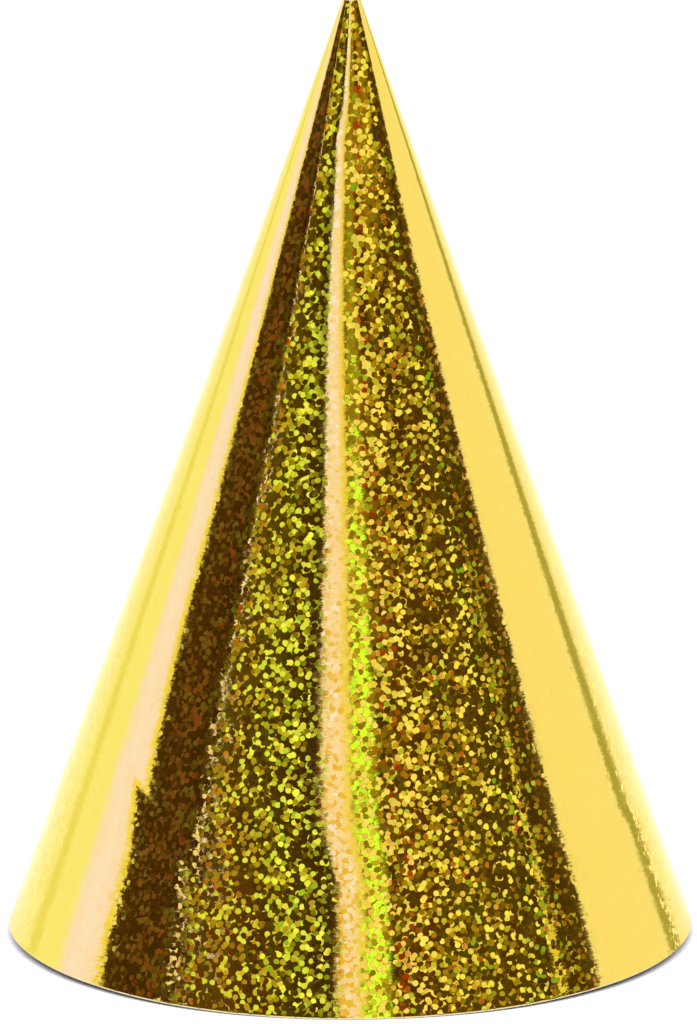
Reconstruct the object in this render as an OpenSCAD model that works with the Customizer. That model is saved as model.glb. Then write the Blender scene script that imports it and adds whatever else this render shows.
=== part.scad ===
// Cone party hat: one die-cut paperboard blank with a metallised film laminated to its
// outside, rolled up and held by a strip of glue along an overlapping seam.
// +Z points up to the tip, -Y is the front, and the seam runs up the back at +Y.
// The blank is rolled as a two-centre spiral. Its first half turn is a cone about the hat's
// axis, and the rest is a cone that is slightly larger and slightly off the axis. The two
// meet tangentially, and after a full turn the sheet lies just clear of its own first end.

/* [Hat] */
// Height of the standing hat
hat_h = 160; // [120:1:200]
// Outside diameter of the paperboard at the rim
rim_d = 116; // [90:1:130]
// Outside diameter of the paperboard at the cut tip
tip_d = 2.6; // [2.4:0.2:6]

/* [Sheet] */
// Thickness of the paperboard
board_t = 0.35; // [0.25:0.05:0.6]
// Thickness of the laminated film with its adhesive
film_t = 0.05; // [0.03:0.01:0.1]

/* [Seam] */
// Width of the overlap at the rim
lap_w = 12; // [8:1:20]
// Corner cut off the hidden flap at the rim
flap_corner_w = 4; // [2:0.5:6]
// Width of the glue strip at the rim
glue_w = 7; // [4:0.5:8]
// Thickness of the glue strip
glue_t = 0.08; // [0.05:0.01:0.15]
// Distance of the glue strip from the rim and from the tip
glue_end = 6; // [3:1:15]

/* [Cord holes] */
// Diameter of the two punched holes for a chin cord
hole_d = 3; // [2:0.1:5]
// Height of the holes above the rim
hole_z = 11; // [8:1:20]
// Angle from the seam round to each hole
hole_turn = 86; // [80:1:100]

/* [Hidden] */

$fn = 180;

rim_r = rim_d / 2;
tip_r = tip_d / 2;
slope = (rim_r - tip_r) / hat_h;
half_angle = atan(slope);

// Whole microns keep the two parts of the spiral exactly flush where they meet
function to_micron(x) = round(x * 1000) / 1000;

// A sheet's thickness measured level, from inside to outside of the leaning wall
function level(thickness) = to_micron(thickness / cos(half_angle));
board_w = level(board_t);
film_w = level(film_t);

// How far the second centre is off the axis: half of what the sheet climbs in a full turn
centre_off = to_micron((board_w + film_w + level(glue_t)) / 2);

// Angles round the hat, where the blank's hidden first end is at zero until it is turned
function rim_angle(width) = width / rim_r * 180 / PI;
lap_angle = rim_angle(lap_w);
glue_angle = rim_angle(glue_w);
seam_az = 90;
first_end_az = seam_az - lap_angle;

// The glue fills the seam at the edge that shows, where the gap is narrowest
glue_gap_w = 2 * centre_off - board_w - film_w - centre_off * (1 - cos(lap_angle));

board_colour = "white";
film_colour = "gold";
glue_colour = "wheat";

// Radius at a height of the face that lies a level offset outside the paperboard's outside
function at_height(offset, z) = to_micron(rim_r + offset - z * slope);

// Part of a hollow cone between two offsets and two heights, about the Z axis
module wall_sector(inner, outer, low, high, from, sweep)
    rotate([0, 0, from])
        rotate_extrude(angle = sweep)
            polygon([
                [at_height(inner, low), low],
                [at_height(outer, low), low],
                [at_height(outer, high), high],
                [at_height(inner, high), high]
            ]);

// The blank's first half turn, whose beginning is the flap hidden under the seam
module first_half(inner, outer)
    difference() {
        wall_sector(inner, outer, 0, hat_h, 0, 180);
        flap_corner();
    }

// The rest of the blank, out to the edge that shows at the seam
module second_half(inner, outer)
    off_centre()
        wall_sector(inner + centre_off, outer + centre_off, 0, hat_h, 180, 180 + lap_angle);

// The second centre lies towards the blank's first end
module off_centre()
    translate([centre_off, 0, 0])
        children();

// Takes the bottom corner off the hidden flap, so that it can't peep out under the rim
module flap_corner()
    translate([rim_r, 0, 0])
        rotate([45, 0, 0])
            cube([8, flap_corner_w * sqrt(2), flap_corner_w * sqrt(2)], center = true);

// Drill through the wall at a hole's height, square to the wall
module hole_drill(angle, radius)
    rotate([0, 0, angle])
        translate([radius - hole_z * slope, 0, hole_z])
            rotate([0, 90 - half_angle, 0])
                cylinder(d = hole_d, h = 6, center = true);

// One hole is in each half of the blank
module cord_holes() {
    hole_drill(lap_angle + hole_turn, rim_r);
    off_centre()
        hole_drill(lap_angle - hole_turn, rim_r + centre_off);
}

// One layer of the rolled blank, with the cord holes punched
module rolled_layer(inner, outer)
    rotate([0, 0, first_end_az])
        difference() {
            union() {
                first_half(inner, outer);
                second_half(inner, outer);
            }
            cord_holes();
        }

module paperboard_cone()
    color(board_colour)
        rolled_layer(-board_w, 0);

module holographic_film()
    color(film_colour)
        rolled_layer(0, film_w);

// Lies on the flap's film and fills the gap up to the paperboard that covers it
module seam_glue_strip()
    color(glue_colour)
        rotate([0, 0, first_end_az])
            wall_sector(film_w, film_w + glue_gap_w, glue_end, hat_h - glue_end,
                        (lap_angle - glue_angle) / 2, glue_angle);

paperboard_cone();
holographic_film();
seam_glue_strip();
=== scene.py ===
# %% [markdown]
# # A foil party hat
#
# This lesson builds one slim paper party hat. It is a sheet of white paperboard with gold
# holographic film laminated to its outside, rolled up into a cone and glued along a lap at
# the back. Nearly everything the eye gets from it is reflection, so the lesson spends its
# effort in three places: a surface that is almost, but not quite, a perfect cone; a film
# whose thousands of small round dots each lean their own way; and a room for it to mirror.

# %% Load the CAD frame
import math
import bpy
import numpy as np
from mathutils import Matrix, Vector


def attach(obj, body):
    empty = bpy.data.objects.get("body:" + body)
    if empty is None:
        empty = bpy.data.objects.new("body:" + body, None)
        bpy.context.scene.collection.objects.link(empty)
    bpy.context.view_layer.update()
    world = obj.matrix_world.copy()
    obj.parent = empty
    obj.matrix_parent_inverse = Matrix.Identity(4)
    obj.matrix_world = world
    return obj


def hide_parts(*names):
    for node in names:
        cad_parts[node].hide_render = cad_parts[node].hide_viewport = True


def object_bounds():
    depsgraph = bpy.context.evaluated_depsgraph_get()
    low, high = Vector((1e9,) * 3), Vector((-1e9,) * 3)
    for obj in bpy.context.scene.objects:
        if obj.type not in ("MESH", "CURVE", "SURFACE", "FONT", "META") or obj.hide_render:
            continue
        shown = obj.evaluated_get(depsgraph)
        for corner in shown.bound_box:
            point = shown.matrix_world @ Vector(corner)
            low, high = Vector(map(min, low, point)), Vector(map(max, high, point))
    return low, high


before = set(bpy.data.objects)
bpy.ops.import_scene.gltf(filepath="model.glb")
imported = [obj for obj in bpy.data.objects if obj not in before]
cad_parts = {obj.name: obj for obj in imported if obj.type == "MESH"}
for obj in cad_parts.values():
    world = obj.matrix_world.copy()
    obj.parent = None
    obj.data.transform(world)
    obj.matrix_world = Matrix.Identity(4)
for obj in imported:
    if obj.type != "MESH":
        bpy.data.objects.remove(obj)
cad_low, cad_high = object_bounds()
print("CAD box in mm:", [round(1000 * (b - a), 2) for a, b in zip(cad_low, cad_high)])

# %% [markdown]
# ## The sizes of the sheet
#
# All lengths are in metres, in the CAD model's own frame: the rim lies on the floor round
# the origin, the tip points up, the front faces -Y and the seam is at the back. The wall
# leans, so a thickness measured level is a little more than the sheet's own. The rolled
# blank follows two centres, as a spiral drawn with compasses does: half a turn about the
# axis, and the rest about a second centre, slightly off it, so that the end of the sheet
# clears its beginning. The height and the rim's radius are the CAD box's, to the nearest
# millimetre. The rest are the CAD model's sizes of the sheet, to a thousandth of a
# millimetre.

# %% Sizes
MM = 0.001
HAT_HEIGHT = round(cad_high[2], 3)
RIM_RADIUS = round(-cad_low[1], 3)
TIP_RADIUS = 1.3 * MM
BOARD_THICK = 0.35 * MM
FILM_THICK = 0.05 * MM
SLOPE = (RIM_RADIUS - TIP_RADIUS) / HAT_HEIGHT
LEAN = math.atan(SLOPE)
BOARD_LEVEL = BOARD_THICK / math.cos(LEAN)
FILM_LEVEL = FILM_THICK / math.cos(LEAN)
CENTRE_OFF = 0.254 * MM
LAP = 12 * MM / RIM_RADIUS
FIRST_END = math.pi / 2 - LAP
WHOLE_TURN = 2 * math.pi + LAP
HOLE_RADIUS = 1.5 * MM
HOLE_HEIGHT = 11 * MM
HOLE_FROM_SEAM = math.radians(86)
HOLE_TURNS = (LAP + HOLE_FROM_SEAM, LAP - HOLE_FROM_SEAM + 2 * math.pi)
HOLE_AZIMUTH = math.pi / 2 - HOLE_FROM_SEAM
print("half angle of the cone in degrees:", round(math.degrees(LEAN), 2))

# %% [markdown]
# ## A cone that a person rolled
#
# A perfect cone would mirror its surroundings in ruler-straight bands. Paperboard rolled by
# hand has faint flats and hollows that run up its length, stronger towards the tip, where
# the sheet is bent hardest. They are fractions of a millimetre deep, but a mirror doubles
# every change of slope, so they are what makes the bands of light waver. The rim isn't
# quite flat on the table either: it touches at the front and the back and rises by a
# millimetre or so at the sides, and the dark gap there is part of the hat's look.

# %% The rolled surface
RIM_LIFT = 1.1 * MM
CORNER_CUT = 4 * MM
# Flats that run the whole height: (how many round the hat, depth as a share of the radius, phase)
FLATS = ((3, 0.0006, 0.4), (5, 0.0006, 2.1), (8, 0.0005, 4.0), (13, 0.0003, 1.2), (21, 0.00012, 3.3))
# Bell-shaped swellings beside the front line and on the left: (azimuth of the middle, half
# width, heights in mm, how far the wall stands out there as a share of the radius)
BELLS = (
    (math.radians(-84), math.radians(20), (0, 45, 70, 100, 122, 133, 141, 147, 160),
     (-0.006, -0.006, 0.0, 0.010, 0.021, 0.022, 0.0, -0.018, -0.012)),
    (math.radians(180), math.radians(35), (0, 60, 100, 130, 160), (0.008, 0.008, 0.002, 0.0, 0.0)),
)


def angle_from(azimuth, centre):
    """Signed angle from a centre to an azimuth, wrapped into half a turn either way."""
    return (azimuth - centre + np.pi) % (2 * np.pi) - np.pi


def ripple(azimuth, z):
    """Share of the radius by which the wall stands out: a sum of long flats, cosines round the
    hat, plus bells whose size follows the height."""
    share = sum(depth * np.cos(count * azimuth + phase) for count, depth, phase in FLATS)
    for centre, width, heights, depths in BELLS:
        depth = np.interp(z / MM, heights, depths)
        share = share + depth * np.exp(-((angle_from(azimuth, centre) / width) ** 2))
    return share


def rolled(turn, radius, z):
    """Places points of the flat blank on the hat. turn is the angle from the blank's hidden
    first end, and (radius, z) is the point's profile on the plain cone. Past half a turn the
    centre moves and the radius grows by as much. The rim is raised by a squared cosine of
    the azimuth, and beside the first end by the corner that is cut off there. Both fade to
    nothing at the tip, and a raised point slides up the cone's slope."""
    azimuth = FIRST_END + turn
    second = np.where(turn >= np.pi, CENTRE_OFF, 0.0)
    lift = RIM_LIFT * np.cos(azimuth) ** 2 + np.clip(CORNER_CUT - turn * RIM_RADIUS, 0, None)
    rise = lift * (1 - z / HAT_HEIGHT)
    r = (radius + second - SLOPE * rise) * (1 + ripple(azimuth, z))
    return np.stack([
        r * np.cos(azimuth) + second * math.cos(FIRST_END),
        r * np.sin(azimuth) + second * math.sin(FIRST_END),
        z + rise,
    ], axis=-1)


print("front of the rim in mm:", np.round(rolled(np.array(math.pi + LAP), RIM_RADIUS, 0.0) / MM, 2))

# %% [markdown]
# ## A sheet with thickness and punched holes
#
# The blank is a grid: columns go round the hat, and rows go from the tip down to the rim.
# Each vertex has a partner on the sheet's other face, and wherever the grid ends, at the
# rim, the tip, both ends of the seam and round the two cord holes, a strip of faces closes
# the gap. A hole is punched by leaving a block of squares out of the grid and filling it
# with rings that go from the block's outline to a circle. On the flat blank that circle is
# really round, as the punch that made it is.

# %% The grid of the blank
COLUMNS = 414
# Half the columns of the block that a hole is punched from, and its rings as shares of the
# way from the block's outline to the hole
HOLE_COLUMNS = 4
HOLE_RINGS = (0.3, 0.6, 0.85, 1.0)
HOLE_LIFT = RIM_LIFT * math.cos(HOLE_AZIMUTH) ** 2
HOLE_ON_BLANK = (HOLE_HEIGHT - HOLE_LIFT) / (1 - HOLE_LIFT / HAT_HEIGHT)
HOLE_ROW_HEIGHTS = HOLE_ON_BLANK + np.array([4.2, 2.1, 0.0, -2.1, -4.2]) * MM
# The other rows, in mm above the rim
TIP_ROWS = np.arange(160, 140, -1.25)
BODY_ROWS = np.linspace(140, 18, 31)
RIM_ROWS = np.array([4.2, 2.6, 1.5, 0.9])


def wall_heights(lowest):
    """Heights of the rows from the tip down to where the wall ends: close together near the
    tip, where the flats change fastest, and again round the cord holes and above the rim."""
    return np.concatenate([TIP_ROWS * MM, BODY_ROWS * MM, HOLE_ROW_HEIGHTS, RIM_ROWS * MM, [lowest]])


def blank_grid(rows):
    """Vertex numbers of a rows by COLUMNS grid and its squares, wound to face outwards."""
    index = np.arange(rows * COLUMNS).reshape(rows, COLUMNS)
    quads = np.stack([index[:-1, :-1], index[1:, :-1], index[1:, 1:], index[:-1, 1:]], -1)
    return index, quads


def block_outline(block):
    """The vertices round a block of the grid, once, from its top left corner downwards."""
    return np.concatenate([block[:-1, 0], block[-1, :-1], block[:0:-1, -1], block[0, :0:-1]])


def closing_faces(quads, partner):
    """Faces that join the free edges of a sheet to their partners on its other face. An edge
    is free when no other square has it, whichever way round."""
    edges = np.concatenate([quads[:, [a, (a + 1) % 4]] for a in range(4)])
    key = np.sort(edges, axis=1)
    _, first, count = np.unique(key, axis=0, return_index=True, return_counts=True)
    free = edges[first[count == 1]]
    return np.stack([free[:, 1], free[:, 0], free[:, 0] + partner, free[:, 1] + partner], -1)


print("rows of the wall:", len(wall_heights(0.4 * MM)), "columns:", COLUMNS)

# %% [markdown]
# ## From the grid to a Blender piece
#
# One function takes the two profiles of a layer, its outer and its inner face, and carries
# them round the hat. It also lays the blank out flat again as a UV map: the distance down
# the sheet becomes a radius, and the turn, shrunk by the sine of the cone's half angle,
# becomes an angle. A pattern drawn on that map keeps its true shape on the hat, so round
# dots stay round right up to the tip.

# %% Build a layer of the rolled sheet
FLAT_WIDTH = 360 * MM
FLAT_APEX = (0.5, 0.75)
SHEET_UV = "flat_sheet"
SHARP_ANGLE = math.radians(42)


def add_mesh(name, points, faces):
    """A new object at the origin from an array of points and an array of four-sided faces."""
    mesh = bpy.data.meshes.new(name)
    mesh.from_pydata([], [], [])
    mesh.vertices.add(len(points))
    mesh.vertices.foreach_set("co", np.asarray(points, np.float32).ravel())
    mesh.loops.add(faces.size)
    mesh.loops.foreach_set("vertex_index", faces.ravel().astype(np.int32))
    mesh.polygons.add(len(faces))
    mesh.polygons.foreach_set("loop_start", np.arange(0, faces.size, 4, dtype=np.int32))
    mesh.update(calc_edges=True)
    mesh.validate()
    mesh.polygons.foreach_set("use_smooth", np.ones(len(mesh.polygons), bool))
    mesh.set_sharp_from_angle(angle=SHARP_ANGLE)
    obj = bpy.data.objects.new(name, mesh)
    bpy.context.scene.collection.objects.link(obj)
    return obj


def flat_map(obj, turn, slant):
    """UV map of the blank laid flat: a point is slant from the cone's apex, at the turn
    times the sine of the half angle. FLAT_WIDTH of sheet fills the map's unit square, and
    the apex is at FLAT_APEX."""
    angle = (turn - WHOLE_TURN / 2) * math.sin(LEAN)
    flat = np.stack([slant * np.sin(angle), -slant * np.cos(angle)], -1) / FLAT_WIDTH
    flat += np.array(FLAT_APEX)
    corner = np.empty(len(obj.data.loops), np.int32)
    obj.data.loops.foreach_get("vertex_index", corner)
    layer = obj.data.uv_layers.new(name=SHEET_UV)
    layer.uv.foreach_set("vector", flat[corner].astype(np.float32).ravel())


def punch(sheet, ring, hole_turn, face_radius):
    """Fills the gap between a block's outline and a round hole with rings of faces. A ring's
    points lie on the flat blank between the outline and the circle: the distance from the
    hole's middle goes from the outline's to the hole's radius as share goes from 0 to 1.
    sheet is (turn, down, profile) of every point so far. It comes back with the new points,
    and with the new faces."""
    turn, down, profile = sheet
    faces = []
    centre = (face_radius / SLOPE - HOLE_ON_BLANK) / math.cos(LEAN)
    along = (turn[ring] - hole_turn) * math.sin(LEAN) * centre
    away = down[ring] - centre
    reach = np.hypot(along, away)
    for share in HOLE_RINGS:
        size = 1 + share * (HOLE_RADIUS / reach - 1)
        new_down = centre + away * size
        z = face_radius / SLOPE - new_down * math.cos(LEAN)
        radius = profile[:, ring, 0] + SLOPE * (profile[:, ring, 1] - z)
        fresh = np.arange(len(ring)) + len(turn)
        turn = np.concatenate([turn, hole_turn + along * size / math.sin(LEAN) / centre])
        down = np.concatenate([down, new_down])
        profile = np.concatenate([profile, np.stack([radius, np.stack([z, z])], -1)], axis=1)
        faces.append(np.stack([ring, np.roll(ring, -1), np.roll(fresh, -1), fresh], -1))
        ring = fresh
    return (turn, down, profile), faces


def rolled_layer(name, outer, inner, face_radius, cut_rows=0):
    """A closed layer of the rolled sheet. outer and inner are (radius, z) profiles from the tip
    down, with equally many points; face_radius is the outer wall's radius at the rim's level.
    The faces where the sheet is cut, the last cut_rows of the outer face among them, are
    marked in an attribute."""
    turns = np.linspace(0, WHOLE_TURN, COLUMNS)
    index, quads = blank_grid(len(outer))
    step = np.linalg.norm(np.diff(outer, axis=0), axis=1)
    slant = outer[0, 0] / math.sin(LEAN) + np.concatenate([[0], np.cumsum(step)])
    turn = np.broadcast_to(turns, index.shape).ravel()
    down = np.broadcast_to(slant[:, None], index.shape).ravel()
    sheet = (turn, down, np.repeat(np.stack([outer, inner]), COLUMNS, axis=1))
    keep = np.ones(quads.shape[:2], bool)
    rings = []
    top, bottom = (int(np.abs(outer[:, 1] - z).argmin()) for z in HOLE_ROW_HEIGHTS[[0, -1]])
    for hole_turn in HOLE_TURNS:
        middle = int(np.abs(turns - hole_turn).argmin())
        left, right = middle - HOLE_COLUMNS, middle + HOLE_COLUMNS
        keep[top:bottom, left:right] = False
        outline = block_outline(index[top:bottom + 1, left:right + 1])
        sheet, faces = punch(sheet, outline, hole_turn, face_radius)
        rings += faces
    turn, down, profile = sheet
    front = np.concatenate([quads[keep], *rings])
    count = len(turn)
    faces = np.concatenate([front, front[:, ::-1] + count, closing_faces(front, count)])
    points = np.concatenate([rolled(turn, profile[k, :, 0], profile[k, :, 1]) for k in (0, 1)])
    obj = add_mesh(name, points, faces)
    flat_map(obj, np.tile(turn, 2), np.tile(down, 2))
    marked = np.zeros(len(faces), np.float32)
    marked[:keep.sum()] = (np.argwhere(keep)[:, 0] >= len(keep) - cut_rows)
    marked[2 * len(front):] = 1
    obj.data.attributes.new("cut_edge", "FLOAT", "FACE").data.foreach_set("value", marked)
    print(name, len(points), "vertices,", len(faces), "faces")
    return obj


# %% [markdown]
# ## The film and the board
#
# The two layers were laminated flat and then cut together by one steel rule. The rule
# presses the foil side down as it cuts, so the sheet's outer corner is rounded over, the
# film stops partway round the corner, and the white core of the board shows below it as a
# hair-thin pale line all round the rim. Both layers share the centre of that rounding, so
# they never cross.

# %% Profiles of the two layers
CORNER_RADIUS = 0.24 * MM
CORNER_HEIGHT = 0.30 * MM
FILM_STOP = math.radians(-8)
CORNER_ROWS = 6
FILM_CORNER_ROWS = 3


def wall_and_corner(radius, last_angle, rows):
    """The outer face of a layer, tip to rim: straight rows down the cone, then an arc of the
    given radius about the shared corner centre, from square to the wall to last_angle."""
    middle = CORNER_RADIUS + FILM_THICK
    start = CORNER_HEIGHT + middle * math.sin(LEAN)
    centre = RIM_RADIUS + FILM_LEVEL - SLOPE * start - middle * math.cos(LEAN)
    heights = wall_heights(CORNER_HEIGHT + radius * math.sin(LEAN))
    out = centre + radius * math.cos(LEAN) + SLOPE * heights[-1]
    wall = np.stack([out - SLOPE * heights, heights], -1)
    arc = np.linspace(LEAN, last_angle, rows + 1)[1:]
    corner = np.stack([centre + radius * np.cos(arc), CORNER_HEIGHT + radius * np.sin(arc)], -1)
    return np.concatenate([wall, corner])


film_outer = wall_and_corner(CORNER_RADIUS + FILM_THICK, FILM_STOP, FILM_CORNER_ROWS)
film_inner = wall_and_corner(CORNER_RADIUS, FILM_STOP, FILM_CORNER_ROWS)
board_outer = wall_and_corner(CORNER_RADIUS, math.radians(-90), CORNER_ROWS)
corner_heights = np.linspace(CORNER_HEIGHT, 0.0, CORNER_ROWS)
inner_heights = np.concatenate([board_outer[:-CORNER_ROWS, 1], corner_heights])
board_inner = np.stack([RIM_RADIUS - BOARD_LEVEL - SLOPE * inner_heights, inner_heights], -1)

film = rolled_layer("holographic_foil_skin", film_outer, film_inner, RIM_RADIUS + FILM_LEVEL)
board = rolled_layer("paperboard_blank", board_outer, board_inner, RIM_RADIUS, cut_rows=CORNER_ROWS)

# %% [markdown]
# ## The seam
#
# The outer end of the sheet is held down on the hidden flap by a bead of dispersion glue,
# pressed flat into a ribbon. It was run on by hand, so its two edges waver. It lies in the
# lap between the film of the flap and the white inside of the outer turn, and stops short
# of the rim and of the tip.

# %% A ribbon of glue in the lap
GLUE_WIDTH = 7 * MM
GLUE_END = 6 * MM
GLUE_GAP = 0.004 * MM
GLUE_ROWS = 150
GLUE_COLUMNS = 9
# The waver of the ribbon's edges: (share of its width, millimetres to a radian, phase)
GLUE_WAVES = ((0.06, 3.1, 0.0), (0.03, 1.3, 1.0))
# How far it lies back from the sheet's end, as a share of its width
GLUE_SET_BACK = 0.02


def glue_ribbon():
    """Both faces of the ribbon on a grid: across it the turn runs between two wavy edges, each
    a sum of two sines of the height. Its faces keep GLUE_GAP from film and board."""
    z, across = np.meshgrid(
        np.linspace(HAT_HEIGHT - GLUE_END, GLUE_END, GLUE_ROWS),
        np.linspace(0, 1, GLUE_COLUMNS), indexing="ij")
    wave = sum(share * np.sin(z / MM / length + phase) for share, length, phase in GLUE_WAVES)
    width = GLUE_WIDTH / RIM_RADIUS
    turn = WHOLE_TURN + width * (-1 + wave + across * (1 - 0.5 * wave) - GLUE_SET_BACK)
    inside = RIM_RADIUS + FILM_LEVEL + GLUE_GAP - SLOPE * z
    outside = RIM_RADIUS - BOARD_LEVEL - GLUE_GAP - SLOPE * z
    upper = rolled(turn, outside, z)
    lower = rolled(turn - 2 * math.pi, inside, z)
    index = np.arange(turn.size).reshape(turn.shape)
    quads = np.stack([index[:-1, :-1], index[1:, :-1], index[1:, 1:], index[:-1, 1:]], -1)
    quads = quads.reshape(-1, 4)
    faces = np.concatenate([quads, quads[:, ::-1] + turn.size, closing_faces(quads, turn.size)])
    gap = np.linalg.norm(upper - lower, axis=-1) / MM
    print("glue from", round(gap.min(), 3), "to", round(gap.max(), 3), "mm thick")
    points = np.concatenate([upper.reshape(-1, 3), lower.reshape(-1, 3)])
    return add_mesh("seam_glue_ribbon", points, faces)


glue = glue_ribbon()

# %% [markdown]
# ## Where each piece belongs
#
# The hat has no moving parts, so every piece rides the one body. Each new piece stands for
# the plain solid that the CAD model has in its place, and that solid is hidden.

# %% Pieces, bodies and slots
for piece, node, slot in (
    (board, "paperboard_cone", "white_paperboard"),
    (film, "holographic_film", "gold_film"),
    (glue, "seam_glue_strip", "seam_glue"),
):
    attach(piece, "root")
    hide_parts(node)
    print(piece.name, "stands for", node)

# %% [markdown]
# ## A way to write materials down
#
# A shader is a chain of small sums. One function adds a link of the chain: it names the kind
# of node, gives its inputs as values or as earlier links, and sets its options.

# %% Node helper and colours


def add(tree, kind, inputs, **settings):
    """Adds a node and returns its first output. An input is a value, or another node's output."""
    node = tree.nodes.new("ShaderNode" + kind)
    for name, value in settings.items():
        setattr(node, name, value)
    for key, value in inputs.items():
        if isinstance(value, bpy.types.NodeSocket):
            tree.links.new(value, node.inputs[key])
        else:
            node.inputs[key].default_value = value
    return node.outputs[0]


def linear(code):
    """The scene's linear colour for an sRGB hex code: ((c + 0.055) / 1.055) to the power 2.4,
    or c / 12.92 in the darkest part."""
    part = np.array([int(code[k:k + 2], 16) for k in (0, 2, 4)]) / 255
    part = np.where(part <= 0.04045, part / 12.92, ((part + 0.055) / 1.055) ** 2.4)
    return (*part.tolist(), 1.0)


def new_material(name):
    """An empty material: its node tree, and a Principled shader wired to the output."""
    material = bpy.data.materials.new(name)
    material.use_nodes = True
    tree = material.node_tree
    tree.nodes.clear()
    shader = tree.nodes.new("ShaderNodeBsdfPrincipled")
    tree.links.new(shader.outputs[0], tree.nodes.new("ShaderNodeOutputMaterial").inputs[0])
    return material, tree, shader


def object_in_mm(tree):
    """A point's place on its own piece, in millimetres."""
    place = add(tree, "TexCoord", {}).node.outputs["Object"]
    return add(tree, "VectorMath", {0: place, "Scale": 1 / MM}, operation="SCALE")


print("gold in linear light:", [round(c, 3) for c in linear("F9D065")])

# %% [markdown]
# ## White paperboard
#
# The board is solid bleached sulphate, the white pulp board of greeting cards. It has no
# gloss: the eye gets a matt white with a faint cloudiness where the pulp settled, and
# fibres a few tenths of a millimetre long that only just show in raking light. Where the
# sheet is cut, the open fibres are a little creamier than the calendered face.

# %% SBS paperboard
board_look, tree, shader = new_material("sbs_paperboard")
object_mm = object_in_mm(tree)
cloud = add(tree, "TexNoise", {"Vector": object_mm, "Scale": 0.16, "Detail": 3.0, "Roughness": 0.55})
fibre = add(tree, "TexNoise", {"Vector": object_mm, "Scale": 3.2, "Detail": 4.0, "Distortion": 1.4})
cut = add(tree, "Attribute", {}, attribute_name="cut_edge").node.outputs["Fac"]
mottle = add(tree, "Math", {0: cloud, 1: fibre}, operation="ADD")
mottle = add(tree, "MapRange", {0: mottle, 1: 0.7, 2: 1.3})
paper = add(tree, "MixRGB", {0: mottle, 1: linear("EAE6DD"), 2: linear("F6F4EF")})
paper = add(tree, "MixRGB", {0: cut, 1: paper, 2: linear("FBF3DC")})
tree.links.new(paper, shader.inputs["Base Color"])
rough = add(tree, "MapRange", {0: fibre, 1: 0.3, 2: 0.7, 3: 0.78, 4: 0.92})
tree.links.new(rough, shader.inputs["Roughness"])
relief = add(tree, "Bump", {"Strength": 0.35, "Distance": 0.02 * MM, "Height": fibre})
tree.links.new(relief, shader.inputs["Normal"])
shader.inputs["IOR"].default_value = 1.5
shader.inputs["Specular IOR Level"].default_value = 0.35
board.data.materials.append(board_look)
print(board_look.name, "has", len(tree.nodes), "nodes")

# %% [markdown]
# ## Dispersion glue
#
# White craft glue dries to a clear, faintly yellow plastic film with a soft gloss. Only its
# edges can be seen, from above or below, deep in the seam.

# %% Dried dispersion glue
glue_look, tree, shader = new_material("dispersion_glue")
streak = add(tree, "TexNoise", {"Vector": object_in_mm(tree), "Scale": 0.8, "Detail": 2.0})
body = add(tree, "MixRGB", {0: streak, 1: linear("E3D6B0"), 2: linear("F2EAD2")})
tree.links.new(body, shader.inputs["Base Color"])
gloss = add(tree, "MapRange", {0: streak, 1: 0.3, 2: 0.7, 3: 0.22, 4: 0.38})
tree.links.new(gloss, shader.inputs["Roughness"])
relief = add(tree, "Bump", {"Strength": 0.4, "Distance": 0.03 * MM, "Height": streak})
tree.links.new(relief, shader.inputs["Normal"])
shader.inputs["IOR"].default_value = 1.47
glue.data.materials.append(glue_look)
print(glue_look.name, "has", len(tree.nodes), "nodes")

# %% [markdown]
# ## Gold holographic film
#
# The film is PET, metallised with aluminium, lacquered yellow to look like gold and embossed
# with round dots one millimetre across, scattered so thickly that they overlap like coins.
# Each dot is a fine grating. It sends light off in its own direction and colour, so it acts
# like a little mirror that leans. Here each dot gets a lean from its own random numbers. The
# dots are drawn on the flat sheet, where they were embossed, as four layers of scattered
# discs, each laid over the ones before.

# %% Dots of the film
film_look, tree, shader = new_material("metallised_pet_film")
sheet = add(tree, "UVMap", {}, uv_map=SHEET_UV)
sheet_mm = add(tree, "VectorMath", {0: sheet, "Scale": FLAT_WIDTH / MM}, operation="SCALE")
# Radius of a dot, width of a cell with one dot in it and softness of a dot's edge, in mm
DOT_RADIUS = 0.5
DOT_CELL = 1.25
DOT_EDGE = 0.08
# Offset in mm and turn in degrees of each layer of dots
DOT_LAYERS = ((0.0, 0.0, 12), (41.3, 7.9, 47), (13.7, 66.1, 73), (88.2, 31.6, 31))
# What stands in for a dot's three random numbers where no dot covers the film
BARE_FILM = (0.2, 0.5, 0.5, 1)


def dot_layer(below, across, down, turn):
    """One layer of round dots over the colour of those below. The nearest scattered point's
    distance, in cells, makes the disc, and its random colour fills it."""
    spot = add(tree, "Mapping", {0: sheet_mm, 1: (across, down, 0), 2: (0, 0, math.radians(turn))})
    cells = add(tree, "TexVoronoi", {"Vector": spot, "Scale": 1 / DOT_CELL, "Randomness": 1.0},
                voronoi_dimensions="2D").node
    inner, outer = (DOT_RADIUS - DOT_EDGE) / DOT_CELL, (DOT_RADIUS + DOT_EDGE) / DOT_CELL
    disc = add(tree, "MapRange", {0: cells.outputs["Distance"], 1: outer, 2: inner},
               interpolation_type="SMOOTHSTEP")
    return add(tree, "MixRGB", {0: disc, 1: below, 2: cells.outputs["Color"]})


lot = BARE_FILM
for layer in DOT_LAYERS:
    lot = dot_layer(lot, *layer)
lots = add(tree, "SeparateColor", {0: lot}).node.outputs
print("dots per square cm:", round(len(DOT_LAYERS) * 100 / DOT_CELL ** 2))

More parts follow.
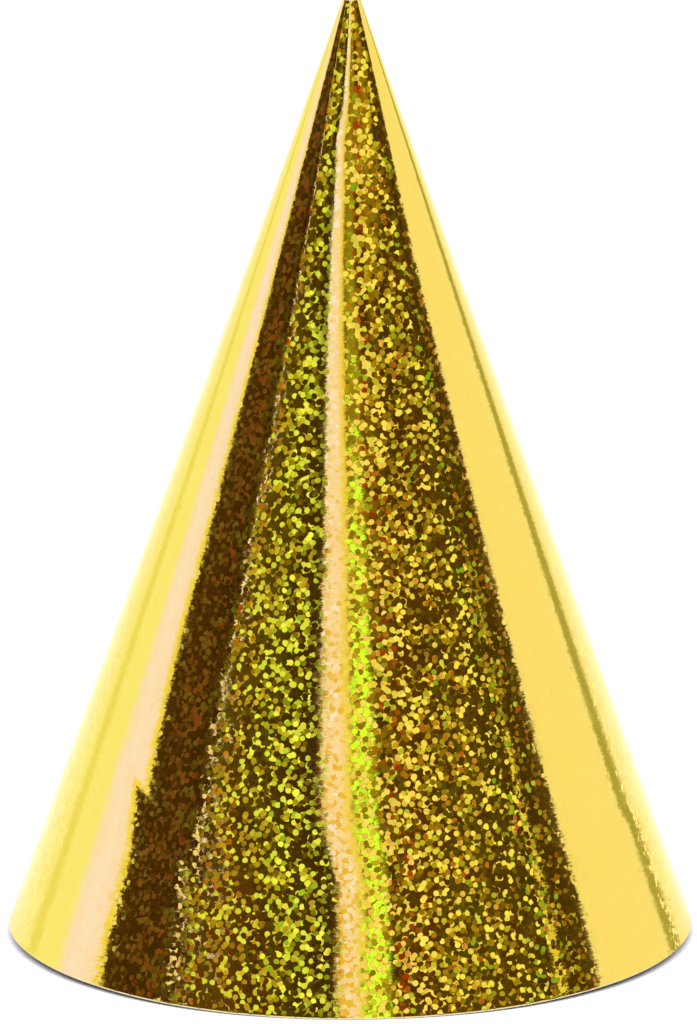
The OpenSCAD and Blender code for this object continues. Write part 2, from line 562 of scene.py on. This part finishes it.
# %% [markdown]
# The first random number of a dot is its lean up the hat, the second a trace of lean sideways
# and the third its tint. About a third of the dots lie almost flat, a third lean slightly,
# and the rest lean far enough to catch the lamp overhead. All of them lean rather more near
# the rim than near the tip. The film's own fine grain leans every spot sideways by half a
# degree at most. It runs round the hat in short hairs, and it is what frays the edge of
# everything the film mirrors.

# %% Lean of the dots and of the grain
# (share of the dots, lean in degrees), and how much of it there is at the rim and at the tip
LEAN_STEPS = ((0.0, -0.5), (0.34, 1.0), (0.50, 3.5), (0.64, 7.0), (1.0, 15.0))
LEAN_AT_RIM = 1.18
LEAN_AT_TIP = 0.72
SIDE_LEAN = 0.15
# Lean of the grain and length of its hairs in degrees, and their height in mm
GRAIN_LEAN = 0.5
GRAIN_TURN = 2.4
GRAIN_HEIGHT = 0.3


def lookup(tree, value, steps):
    """Reads a table of (position, level) steps at a value, evenly between two steps."""
    low, high = steps[0][0], steps[-1][0]
    ramp = add(tree, "ValToRGB", {0: add(tree, "MapRange", {0: value, 1: low, 2: high})}).node
    stops = ramp.color_ramp.elements
    while len(stops) < len(steps):
        stops.new(0.5)
    levels = [level for _, level in steps]
    least, span = min(levels), max(levels) - min(levels)
    for stop, (position, level) in zip(stops, steps):
        stop.position = (position - low) / (high - low)
        stop.color = ((level - least) / span,) * 3 + (1,)
    return add(tree, "MapRange", {0: ramp.outputs[0], 3: least, 4: least + span})


# Azimuth from the front in degrees, growing to the right, and height in millimetres
axes = add(tree, "SeparateXYZ", {0: object_in_mm(tree)}).node.outputs
front_y = add(tree, "Math", {0: axes[1], 1: -1.0}, operation="MULTIPLY")
around = add(tree, "Math", {0: axes[0], 1: front_y}, operation="ARCTAN2")
around = add(tree, "Math", {0: around, 1: math.degrees(1)}, operation="MULTIPLY")
height_mm = axes[2]

lean_up = lookup(tree, lots[0], LEAN_STEPS)
lean_share = add(tree, "MapRange", {0: height_mm, 1: 0, 2: HAT_HEIGHT / MM, 3: LEAN_AT_RIM, 4: LEAN_AT_TIP})
lean_up = add(tree, "Math", {0: lean_up, 1: lean_share}, operation="MULTIPLY")
lean_side = add(tree, "MapRange", {0: lots[1], 3: -SIDE_LEAN, 4: SIDE_LEAN})
hair_x = add(tree, "Math", {0: around, 1: 1 / GRAIN_TURN}, operation="MULTIPLY")
hair_y = add(tree, "Math", {0: height_mm, 1: 1 / GRAIN_HEIGHT}, operation="MULTIPLY")
hairs = add(tree, "CombineXYZ", {0: hair_x, 1: hair_y})
grain = add(tree, "TexNoise", {"Vector": hairs, "Scale": 1.0, "Detail": 1.5}, noise_dimensions="2D")
grain_lean = add(tree, "MapRange", {0: grain, 1: 0.2, 2: 0.8, 3: -GRAIN_LEAN, 4: GRAIN_LEAN})
lean_side = add(tree, "Math", {0: lean_side, 1: grain_lean}, operation="ADD")
print("a dot leans up to", round(LEAN_STEPS[-1][1] * LEAN_AT_RIM, 1), "degrees at the rim and",
      round(LEAN_STEPS[-1][1] * LEAN_AT_TIP, 1), "at the tip")

# %% [markdown]
# Two hands and a table edge have left their marks: long flats too shallow to measure, which
# still steer the reflections. One runs up the front, left of the middle, and turns over in a
# crease just below the tip. A dent crosses the left side a few centimetres above the rim,
# with a sharp upper edge that slopes down towards the front, and a slighter one the right.
# A second long flat runs up the right side and turns further the higher it goes.

# %% Flats and creases as gentle leans
# (height in mm, lean in degrees) up each of them. The left dent counts from its own edge.
FRONT_FLAT = ((0, -8.0), (22, -8.0), (31, -4.2), (76, -1.5), (100, 1.5), (122, 4.8), (138, 5.2),
              (144.5, -1.5), (152, -4.0), (160, -4.0))
LEFT_DENT = ((-32, -1.2), (-23, -0.7), (-10, -0.9), (-5, 0.5), (-1.2, 1.7), (0.6, -1.6), (5, -0.8),
             (24, 0.2))
RIGHT_DENT = ((0, -2.0), (23, -1.6), (26, 0.0), (40, 0.0))
RIGHT_FLAT = ((0, 0.0), (18, 0.0), (33, 1.0), (60, 1.8), (84, 2.8), (116, 4.0), (160, 4.2))
# The left dent's edge: its height at an azimuth, and how many mm it drops with each degree
EDGE_HEIGHT = 34
EDGE_AZIMUTH = -50
EDGE_DROP = 0.667


def fall_off(tree, *edges):
    """Product of smooth steps. An edge is (value, where its step is 0, where its step is 1)."""
    mask = 1.0
    for value, out, full in edges:
        step = add(tree, "MapRange", {0: value, 1: out, 2: full}, interpolation_type="SMOOTHSTEP")
        mask = add(tree, "Math", {0: mask, 1: step}, operation="MULTIPLY")
    return mask


above_edge = add(tree, "Math", {0: around, 1: EDGE_DROP, 2: -EDGE_DROP * EDGE_AZIMUTH - EDGE_HEIGHT},
                 operation="MULTIPLY_ADD")
above_edge = add(tree, "Math", {0: height_mm, 1: above_edge}, operation="ADD")
for up, steps, left, right in (
    (height_mm, FRONT_FLAT, (-31, -17), (16, -6)),
    (above_edge, LEFT_DENT, (-60, -53), (-22, -28)),
    (height_mm, RIGHT_DENT, (52, 62), (86, 76)),
    (height_mm, RIGHT_FLAT, (33, 39), (60, 52)),
):
    window = fall_off(tree, (around, *left), (around, *right))
    lean = add(tree, "Math", {0: lookup(tree, up, steps), 1: window}, operation="MULTIPLY")
    lean_side = add(tree, "Math", {0: lean_side, 1: lean}, operation="ADD")

normal = add(tree, "NewGeometry", {}).node.outputs["Normal"]
level_way = add(tree, "VectorMath", {0: (0, 0, 1), 1: normal}, operation="CROSS_PRODUCT")
level_way = add(tree, "VectorMath", {0: level_way}, operation="NORMALIZE")
up_way = add(tree, "VectorMath", {0: normal, 1: level_way}, operation="CROSS_PRODUCT")
leaned = normal
for way, lean in ((up_way, lean_up), (level_way, lean_side)):
    size = add(tree, "Math", {0: lean, 1: math.radians(1)}, operation="MULTIPLY")
    leaned = add(tree, "VectorMath", {0: way, 1: size, 2: leaned}, operation="MULTIPLY_ADD")
leaned = add(tree, "VectorMath", {0: leaned}, operation="NORMALIZE")
tree.links.new(leaned, shader.inputs["Normal"])
print("a flat leans up to", max(abs(lean) for _, lean in FRONT_FLAT), "degrees")

# %% [markdown]
# The lacquer over the aluminium gives the gold. A dot's tint runs from greenish to orange
# gold, and slow clouds in the lacquer and dull smears from handling vary it further. A dot
# that leans is also a little duller than one that lies flat.

# %% Gold and its gloss
tint = add(tree, "MixRGB", {0: lots[2], 1: linear("F8D268"), 2: linear("FBCC62")})
cloud = add(tree, "TexNoise", {"Vector": sheet_mm, "Scale": 0.09, "Detail": 3.0}, noise_dimensions="2D")
cloud_depth = add(tree, "MapRange", {0: cloud, 1: 0.35, 2: 0.65, 3: 0.0, 4: 0.35})
gold = add(tree, "MixRGB", {0: cloud_depth, 1: tint, 2: linear("F6CE5C")})
tree.links.new(gold, shader.inputs["Base Color"])
smear = add(tree, "TexNoise", {"Vector": sheet_mm, "Scale": 0.22, "Detail": 4.0, "Distortion": 0.8},
            noise_dimensions="2D")
dull = add(tree, "MapRange", {0: smear, 1: 0.4, 2: 0.75, 3: 0.045, 4: 0.09})
leaning = add(tree, "MapRange", {0: lean_up, 1: 1.0, 2: 6.0, 3: 0.0, 4: 0.035})
dull = add(tree, "Math", {0: dull, 1: leaning}, operation="ADD")
tree.links.new(dull, shader.inputs["Roughness"])
shader.inputs["Metallic"].default_value = 1.0
shader.inputs["Specular Tint"].default_value = linear("FFFAE6")
film.data.materials.append(film_look)
print(film_look.name, "has", len(tree.nodes), "nodes")

# %% [markdown]
# ## The room that the foil mirrors
#
# Foil shows the studio, not itself. The side of the room that faces the hat's front is dark
# and warm. A big soft light stands to the left and to the right and a third hangs overhead,
# and the white table runs out to all of them. The room is written as a function of
# direction: the azimuth, from the front and growing to the right, and the elevation, both
# in degrees. Each light is a patch with soft edges in those two numbers, drawn over what
# was there before.

# %% Directions in the room
world = bpy.data.worlds.new("studio")
bpy.context.scene.world = world
world.use_nodes = True
tree = world.node_tree
tree.nodes.clear()
ray = add(tree, "TexCoord", {}).node.outputs["Generated"]
axes = add(tree, "SeparateXYZ", {0: ray}).node.outputs
toward_front = add(tree, "Math", {0: axes[1], 1: -1.0}, operation="MULTIPLY")
azimuth = add(tree, "Math", {0: axes[0], 1: toward_front}, operation="ARCTAN2")
azimuth = add(tree, "Math", {0: azimuth, 1: math.degrees(1)}, operation="MULTIPLY")
elevation = add(tree, "Math", {0: axes[2]}, operation="ARCSINE")
elevation = add(tree, "Math", {0: elevation, 1: math.degrees(1)}, operation="MULTIPLY")
# Where the ray meets a ceiling of height 1. One near or below the horizon counts as rising 0.02
height = add(tree, "Math", {0: axes[2], 1: 0.02}, operation="MAXIMUM")
ceiling_x = add(tree, "Math", {0: axes[0], 1: height}, operation="DIVIDE")
ceiling_y = add(tree, "Math", {0: toward_front, 1: height}, operation="DIVIDE")


def solid(colour):
    """A colour as an input: three numbers get an alpha of 1, and a link stays as it is."""
    return (*colour, 1) if isinstance(colour, tuple) else colour


def blend(value, start, stop, first, last):
    """Goes evenly from the first colour to the last as the value goes from start to stop."""
    share = add(tree, "MapRange", {0: value, 1: start, 2: stop})
    return add(tree, "MixRGB", {0: share, 1: solid(first), 2: solid(last)})


def skew(value, other, share, pivot):
    """value + share * (other - pivot), for patches whose edges lean."""
    moved = add(tree, "Math", {0: other, 1: share, 2: -share * pivot}, operation="MULTIPLY_ADD")
    return add(tree, "Math", {0: value, 1: moved}, operation="ADD")


def draw(room, *patches):
    """Draws soft-edged patches over the room, one after another. A patch is a colour and then
    its edges, as fall_off takes them."""
    for colour, *edges in patches:
        room = add(tree, "MixRGB", {0: fall_off(tree, *edges), 1: room, 2: solid(colour)})
    return room


print("nodes that find a ray's direction:", len(tree.nodes))

# %% [markdown]
# The dark side comes first. It brightens upwards to the overhead lamp through dim reds and
# olives, so that a dot's lean also sets its hue, much as a grating's would.

# %% The dark side of the room
# Width and height in degrees of the mottling's bands
MIST_WIDTH = 22
MIST_HEIGHT = 1.7
band_x = add(tree, "Math", {0: azimuth, 1: 1 / MIST_WIDTH}, operation="MULTIPLY")
band_y = add(tree, "Math", {0: elevation, 1: 1 / MIST_HEIGHT}, operation="MULTIPLY")
banded = add(tree, "CombineXYZ", {0: band_x, 1: band_y})
mist = add(tree, "TexNoise", {"Vector": banded, "Scale": 1.0, "Detail": 1.0}, noise_dimensions="2D")
hue = add(tree, "TexNoise", {"Vector": banded, "Scale": 0.7, "Detail": 1.0, "W": 3.0}, noise_dimensions="4D")
up_mixed = skew(elevation, mist, 10.0, 0.5)
dim = blend(hue, 0.40, 0.60, (0.130, 0.052, 0.010), (0.095, 0.120, 0.014))
room = draw(
    blend(mist, 0.40, 0.60, (0.060, 0.042, 0.006), dim),
    ((0.26, 0.215, 0.024), (up_mixed, 26.2, 28.7)),
    ((0.47, 0.48, 0.06), (up_mixed, 31, 33.5)),
    ((0.70, 0.72, 0.14), (up_mixed, 35.5, 38)),
    ((0.42, 0.02, 0.01), (hue, 0.42, 0.405), (elevation, 27, 30)),
    ((0.20, 0.66, 0.05), (hue, 0.58, 0.595), (elevation, 30, 33)),
)
print("nodes with the dark side:", len(tree.nodes))

# %% [markdown]
# The lamp overhead fills the upper front. It is lime towards the left and low down, and
# warmer to the right and higher up, like the orders of a grating.

# %% Overhead lamp
glow = add(tree, "MapRange", {0: mist, 1: 0.36, 2: 0.56, 3: 0.85, 4: 1.30})
lamp_low = blend(azimuth, -14, 6, (0.64, 1.10, 0.24), (0.88, 0.95, 0.38))
lamp_high = blend(azimuth, -14, 6, (0.92, 1.26, 0.44), (1.06, 1.04, 0.85))
lamp = blend(elevation, 43, 49, lamp_low, lamp_high)
lamp = blend(azimuth, 22, 45, lamp, (0.94, 1.10, 0.44))
lamp = blend(hue, 0.60, 0.63, lamp, (0.40, 0.95, 0.10))
lamp = add(tree, "VectorMath", {0: lamp, "Scale": glow}, operation="SCALE")
lamp = blend(hue, 0.385, 0.37, lamp, (0.45, 0.02, 0.02))
lamp_left = skew(azimuth, elevation, 0.42, 21)
room = draw(
    room,
    (lamp, (lamp_left, -66, -63), (azimuth, 112, 100), (elevation, 40, 42)),
    (lamp, (azimuth, 60, 68), (azimuth, 112, 100), (elevation, 34.5, 37)),
    ((0.05, 0.035, 0.007),
     (azimuth, -34, -28), (azimuth, -21, -23), (elevation, 60, 48), (hue, 0.56, 0.50)),
)
print("nodes with the overhead lamp:", len(tree.nodes))

# %% [markdown]
# The narrow lights follow: a dim mottled side to the far left, a lime glow and a gold mist
# just right of the middle, the tall white lamp left of it, and a thin slit of light on
# each side. The left slit has a wider foot.

# %% Narrow lights
side = blend(hue, 0.42, 0.58, (0.25, 0.075, 0.05), (0.14, 0.19, 0.05))
side = blend(up_mixed, 18, 32, (0.065, 0.038, 0.008), side)
side = blend(mist, 0.36, 0.46, (0.05, 0.03, 0.006), side)
gold_mist = blend(hue, 0.42, 0.56, (0.58, 0.44, 0.11), (0.22, 0.32, 0.04))
core = blend(elevation, 25.0, 26.2, (0.95, 0.86, 0.90), (1.03, 1.04, 2.0))
core = blend(elevation, 26.2, 27.9, core, (1.04, 1.30, 4.0))
core = blend(elevation, 29.0, 31.0, core, (1.03, 1.08, 2.1))
slit = skew(azimuth, elevation, -0.76, 20)
room = draw(
    room,
    (side, (lamp_left, -64, -66), (azimuth, -150, -140)),
    ((0.04, 0.022, 0.005), (lamp_left, -64, -65), (lamp_left, -74, -68), (hue, 0.62, 0.48)),
    (gold_mist, (azimuth, -4, -1), (azimuth, 10, 4), (elevation, 23, 25), (elevation, 31, 27.4)),
    ((0.78, 1.85, 0.24), (azimuth, -6, -2), (azimuth, 8.5, 4), (elevation, 26.8, 25.4), (hue, 0.38, 0.44)),
    ((0.90, 0.76, 0.26), (azimuth, -21, -17), (azimuth, -3, -6), (elevation, 33, 29), (mist, 0.44, 0.50)),
    ((0.82, 1.85, 0.20), (azimuth, -12, -8), (azimuth, 9.5, 5), (elevation, 24.9, 24.2), (hue, 0.40, 0.45)),
    ((0.96, 1.02, 0.45), (azimuth, -21.6, -20.6), (azimuth, -3.5, -8), (elevation, 24.1, 25.2)),
    (core, (azimuth, -21.6, -20.6), (azimuth, -8.5, -12.5), (elevation, 24.2, 25.2), (elevation, 62, 56)),
    ((1.5, 1.6, 3.0), (slit, -65.3, -64.9), (slit, -64.0, -64.4), (elevation, 12, 14), (elevation, 30, 26)),
    ((1.1, 1.1, 1.2), (slit, -67, -66), (slit, -63.4, -64.2), (elevation, 12, 14), (elevation, 19.8, 18.6)),
    ((0.9, 0.98, 0.28),
     (azimuth, 74.0, 75.0), (azimuth, 78.4, 77.2), (elevation, 13, 14), (elevation, 18.8, 17.4)),
)
print("nodes with the narrow lights:", len(tree.nodes))

# %% [markdown]
# Last come the two tall softboxes at the sides. The left one has a yellow border and a
# rosy part, and beyond it a fainter green edge. The right one ends in a narrow gap, beyond
# which the white sweep begins. Behind the hat the room is dark above the sweep. The lamp
# overhead is drawn once more, as a rectangle on the ceiling.

# %% Softboxes
left_edge = skew(azimuth, elevation, 0.40, 14)
right_edge = skew(azimuth, elevation, -0.40, 14)
far_edge = skew(azimuth, elevation, -0.20, 3)
behind = add(tree, "Math", {0: azimuth}, operation="ABSOLUTE")
room = draw(
    room,
    ((1.0, 1.10, 0.4), (left_edge, -94.6, -95.6)),
    ((1.04, 1.16, 3.1), (left_edge, -98.0, -100)),
    ((1.05, 1.20, 3.4), (left_edge, -104, -107), (left_edge, -113, -110)),
    ((1.03, 1.27, 1.15), (left_edge, -114, -119)),
    ((0.90, 1.10, 0.6), (left_edge, -131, -134), (left_edge, -141, -137), (elevation, 24, 18)),
    ((1.03, 1.16, 1.1), (right_edge, 90.5, 91.5)),
    ((0.44, 0.52, 0.22), (far_edge, 129, 132.5), (far_edge, 141, 137), (elevation, 24, 20)),
    ((1.03, 1.26, 1.55), (behind, 142, 148), (elevation, 18, 14)),
    ((0.13, 0.09, 0.03), (behind, 146, 154), (elevation, 12, 18)),
    (lamp, (ceiling_x, -0.95, -0.82), (ceiling_x, 0.95, 0.82), (ceiling_y, -1.05, -0.9),
     (ceiling_y, 0.2, -0.1), (axes[2], 0.3, 0.35)),
)
print("nodes with the softboxes:", len(tree.nodes))

# %% [markdown]
# Only mirrors should see that coloured room. Light that a matt surface gathers comes from an
# even grey one instead, which keeps the table neutral, and the camera sees plain white
# behind everything.

# %% What each kind of ray sees
path = add(tree, "LightPath", {}).node.outputs
room = add(tree, "MixRGB", {0: path["Is Diffuse Ray"], 1: room, 2: (0.53, 0.53, 0.55, 1)})
room = add(tree, "MixRGB", {0: path["Is Camera Ray"], 1: room, 2: (1, 1, 1, 1)})
shine = add(tree, "Background", {0: room, 1: 1.0})
tree.links.new(shine, tree.nodes.new("ShaderNodeOutputWorld").inputs[0])
print("nodes in the whole room:", len(tree.nodes))

# %% [markdown]
# ## Table, sunlight and camera
#
# The hat stands on a wide white table, lit evenly from straight above by a very broad, soft
# light. It is bright enough to take the table to white, and only the thin gap under the
# rim and the last few millimetres round the hat stay darker. The foil doesn't mirror it.

# %% Table and broad light
TABLE_HALF = 6.0
SKY_ENERGY = 3.2
SKY_ANGLE = math.radians(120)
table = add_mesh("table_top", np.array([
    [-TABLE_HALF, -TABLE_HALF, 0], [TABLE_HALF, -TABLE_HALF, 0],
    [TABLE_HALF, TABLE_HALF, 0], [-TABLE_HALF, TABLE_HALF, 0],
]), np.array([[0, 1, 2, 3]]))
table_look, tree, shader = new_material("white_acrylic_table")
place = add(tree, "TexCoord", {}).node.outputs["Object"]
soft = add(tree, "TexNoise", {"Vector": place, "Scale": 6.0, "Detail": 2.0})
pale = add(tree, "MixRGB", {0: soft, 1: linear("EDEEF1"), 2: linear("F1F2F4")})
tree.links.new(pale, shader.inputs["Base Color"])
shader.inputs["Roughness"].default_value = 0.9
shader.inputs["Specular IOR Level"].default_value = 0.0
table.data.materials.append(table_look)

sky = bpy.data.lights.new("broad_light", "SUN")
sky.energy = SKY_ENERGY
sky.angle = SKY_ANGLE
sky_object = bpy.data.objects.new("broad_light", sky)
sky_object.visible_glossy = False
bpy.context.scene.collection.objects.link(sky_object)
bpy.context.scene.view_settings.view_transform = "Standard"
print("table", 2 * TABLE_HALF, "m wide under a light", round(math.degrees(SKY_ANGLE)), "degrees wide")

# %% [markdown]
# The camera has a long lens. It stands well back and looks slightly down on the front.

# %% Camera
AIM_HEIGHT = 72.43 * MM
VIEW_DISTANCE = 1.677
VIEW_DOWN = math.radians(12.913)
lens = bpy.data.cameras.new("long_lens")
lens.lens = 350.27
lens.sensor_width = 36
lens.shift_x = -0.002
camera = bpy.data.objects.new("long_lens", lens)
camera_height = AIM_HEIGHT + VIEW_DISTANCE * math.sin(VIEW_DOWN)
camera.location = (0, -VIEW_DISTANCE * math.cos(VIEW_DOWN), camera_height)
camera.rotation_euler = (math.pi / 2 - VIEW_DOWN, 0, 0)
bpy.context.scene.collection.objects.link(camera)
bpy.context.scene.camera = camera
print("camera at", [round(v, 3) for v in camera.location])
